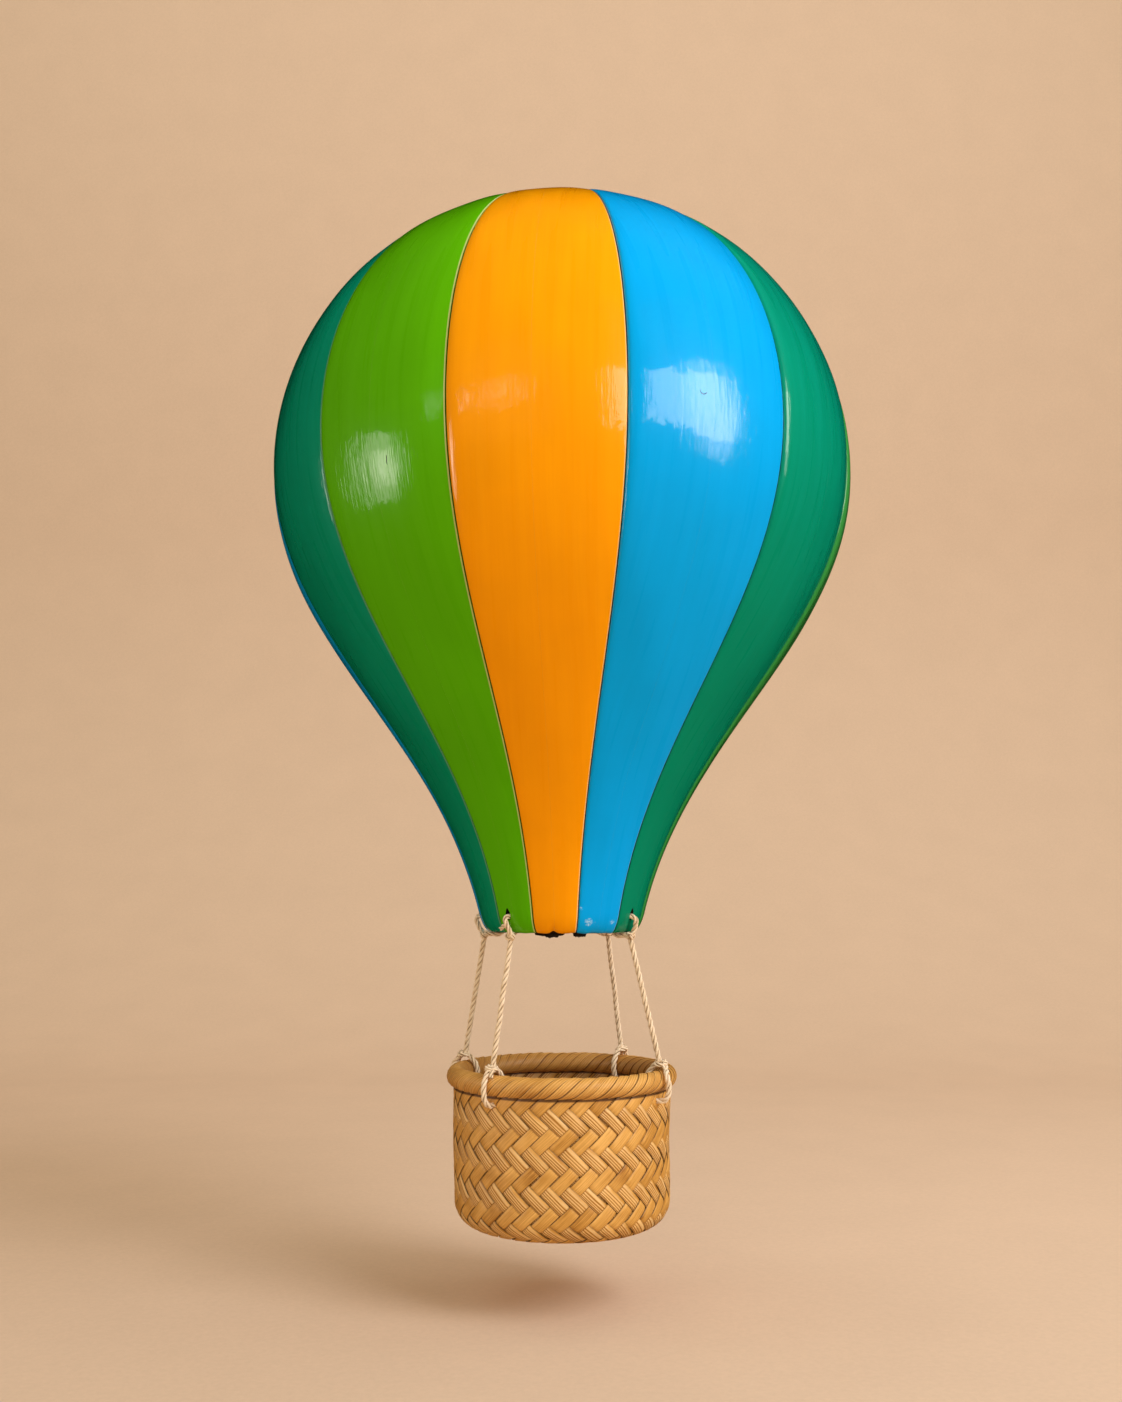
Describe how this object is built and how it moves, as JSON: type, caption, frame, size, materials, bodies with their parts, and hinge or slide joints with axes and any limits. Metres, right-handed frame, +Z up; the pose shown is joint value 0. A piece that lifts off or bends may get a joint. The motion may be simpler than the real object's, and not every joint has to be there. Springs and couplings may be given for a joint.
{
  "type": "hanging hot air balloon model",
  "caption": "Hanging model of a hot air balloon: hollow pear-shaped envelope in coloured gores, tied twine stays, and a plaited basket that sways.",
  "frame": {"origin": "middle of the ring of the hanging eye on the crown, where the hanging thread pulls; the whole model hangs below it", "axes": "+Z up along the envelope's axis; -Y is the side the picture shows; +X to the right in the picture"},
  "size_m": [0.3209, 0.3206, 0.576],
  "materials": {
    "orange_paint": "brushed orange enamel under a gloss varnish",
    "blue_paint": "brushed sky blue enamel under a gloss varnish",
    "green_paint": "brushed leaf green enamel under a gloss varnish",
    "dark_green_paint": "brushed dark green enamel under a gloss varnish",
    "twine": "natural three-strand jute",
    "plaited_palm": "dried palm strips, satin",
    "turned_wood": "plain turned softwood",
    "steel_wire": "bright steel wire"
  },
  "bodies": {
    "envelope": {"gore_01_orange": "orange_paint", "gore_02_blue": "blue_paint", "gore_03_dark_green": "dark_green_paint", "gore_04_green": "green_paint", "gore_05_orange": "orange_paint", "gore_06_blue": "blue_paint", "gore_07_dark_green": "dark_green_paint", "gore_08_green": "green_paint", "gore_09_orange": "orange_paint", "gore_10_blue": "blue_paint", "gore_11_dark_green": "dark_green_paint", "gore_12_green": "green_paint", "crown_plug": "turned_wood", "hanging_eye": "steel_wire", "mouth_loop_front_left": "twine", "mouth_loop_front_right": "twine", "mouth_loop_back_right": "twine", "mouth_loop_back_left": "twine"},
    "basket": {"basket_body": "plaited_palm", "basket_rim": "plaited_palm", "rim_loop_front_left": "twine", "rim_loop_front_right": "twine", "rim_loop_back_right": "twine", "rim_loop_back_left": "twine"},
    "front_left_stay": {"stay_front_left": "twine"},
    "front_right_stay": {"stay_front_right": "twine"},
    "back_right_stay": {"stay_back_right": "twine"},
    "back_left_stay": {"stay_back_left": "twine"}
  },
  "joints": [
    {"name": "basket_swing", "type": "hinge", "parent": "envelope", "child": "basket", "pos_m": [0, 0, -0.236], "axis": [0, 1, 0], "range_deg": [-3.5, 3.5]},
    {"name": "stay_swing_front_left", "type": "hinge", "parent": "envelope", "child": "front_left_stay", "pos_m": [-0.02615, -0.03287, -0.4232], "axis": [0, 1, 0], "range_deg": [-14, 14]},
    {"name": "stay_swing_front_right", "type": "hinge", "parent": "envelope", "child": "front_right_stay", "pos_m": [0.03542, -0.02257, -0.4232], "axis": [0, 1, 0], "range_deg": [-14, 14]},
    {"name": "stay_swing_back_right", "type": "hinge", "parent": "envelope", "child": "back_right_stay", "pos_m": [0.02557, 0.03332, -0.4232], "axis": [0, 1, 0], "range_deg": [-14, 14]},
    {"name": "stay_swing_back_left", "type": "hinge", "parent": "envelope", "child": "back_left_stay", "pos_m": [-0.04159, 0.00585, -0.4232], "axis": [0, 1, 0], "range_deg": [-14, 14]}
  ],
  "couplings": [
    {"joint": "stay_swing_front_left", "follows": "basket_swing", "ratio": 3.99},
    {"joint": "stay_swing_front_right", "follows": "basket_swing", "ratio": 3.99},
    {"joint": "stay_swing_back_right", "follows": "basket_swing", "ratio": 3.99},
    {"joint": "stay_swing_back_left", "follows": "basket_swing", "ratio": 3.99}
  ]
}
